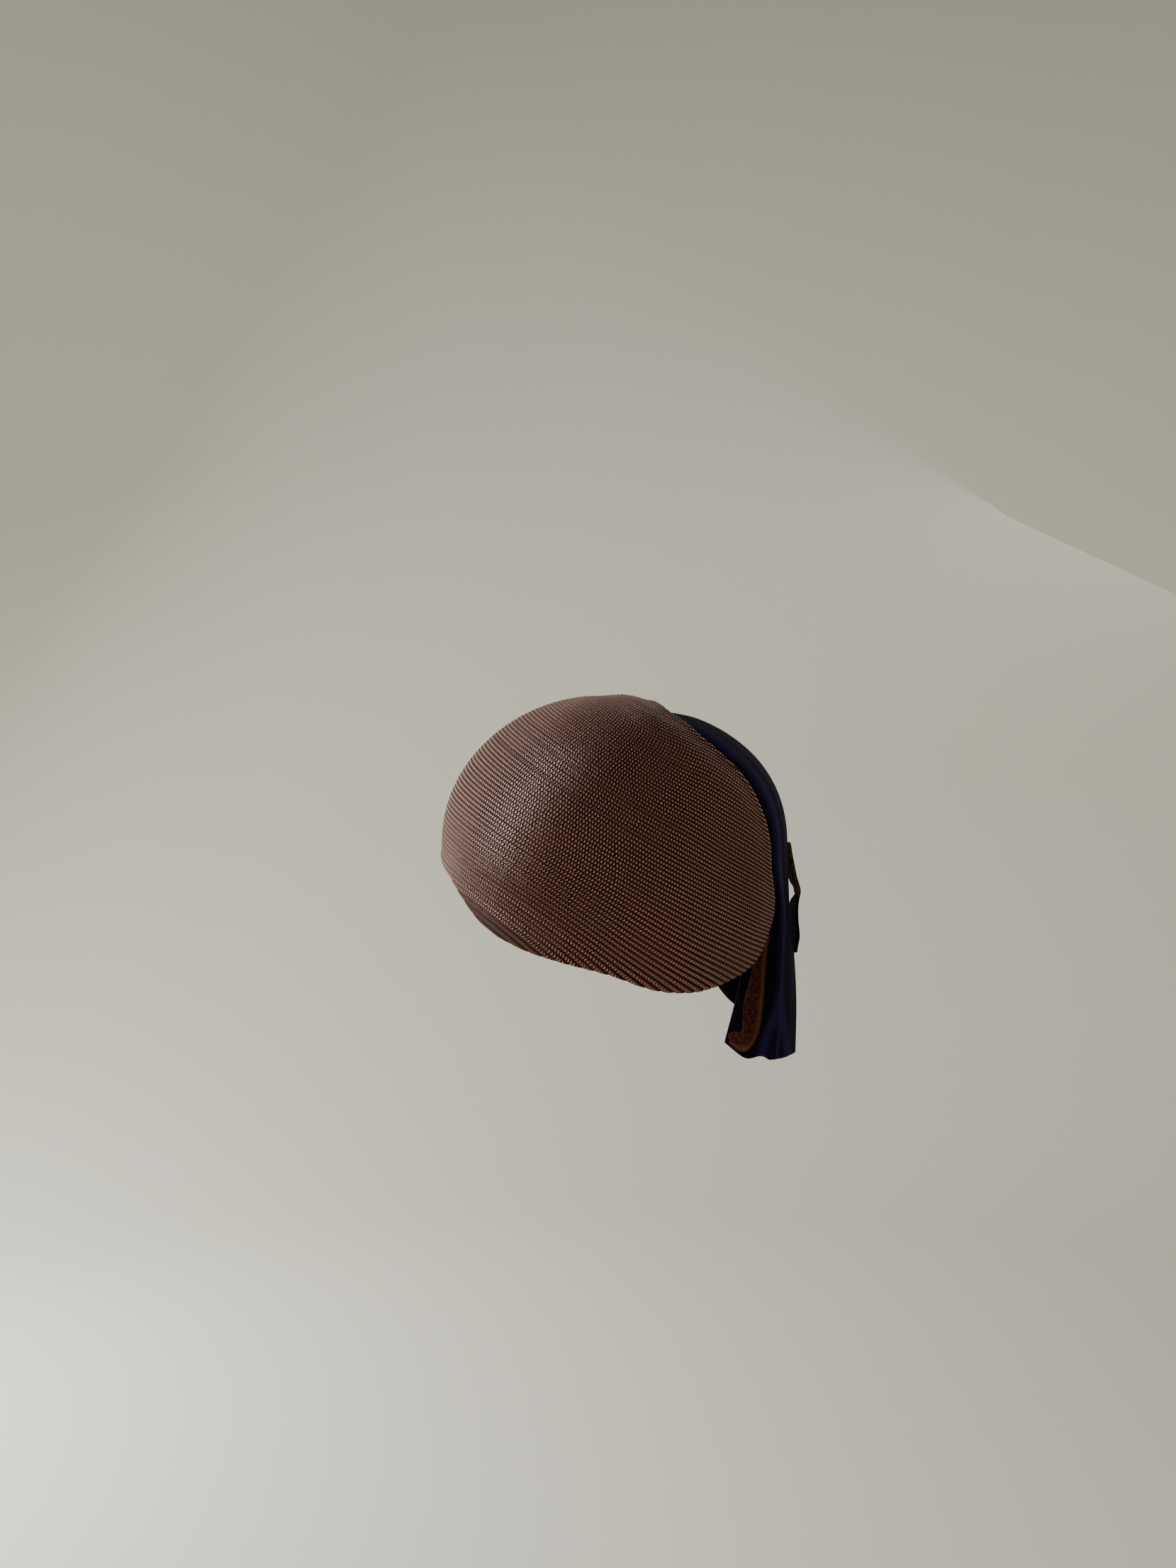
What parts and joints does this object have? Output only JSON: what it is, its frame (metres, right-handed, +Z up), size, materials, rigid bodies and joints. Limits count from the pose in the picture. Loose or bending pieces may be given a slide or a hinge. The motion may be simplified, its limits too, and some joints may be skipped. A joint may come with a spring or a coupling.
{
  "type": "half hat",
  "caption": "Half hat of ribbed straw that dips over the left ear, with a velvet drape and bow loop hanging at the back of the head.",
  "frame": {"origin": "crown of the wearer's head, where the inside of the hat sits", "axes": "+Z up along the upright head, -Y to the wearer's front, +X to the wearer's left"},
  "size_m": [0.1463, 0.2067, 0.2031],
  "materials": {
    "straw": "sewn rows of fine brown straw braid with a soft sheen",
    "velvet": "midnight blue velvet, dark and matt with a pale sheen on its folds",
    "straw_reverse": "matt brown reverse side of the straw braid"
  },
  "bodies": {
    "root": {"straw_cap": "straw", "velvet_drape": "velvet", "velvet_loop": "velvet", "straw_facing": "straw_reverse"}
  },
  "joints": []
}
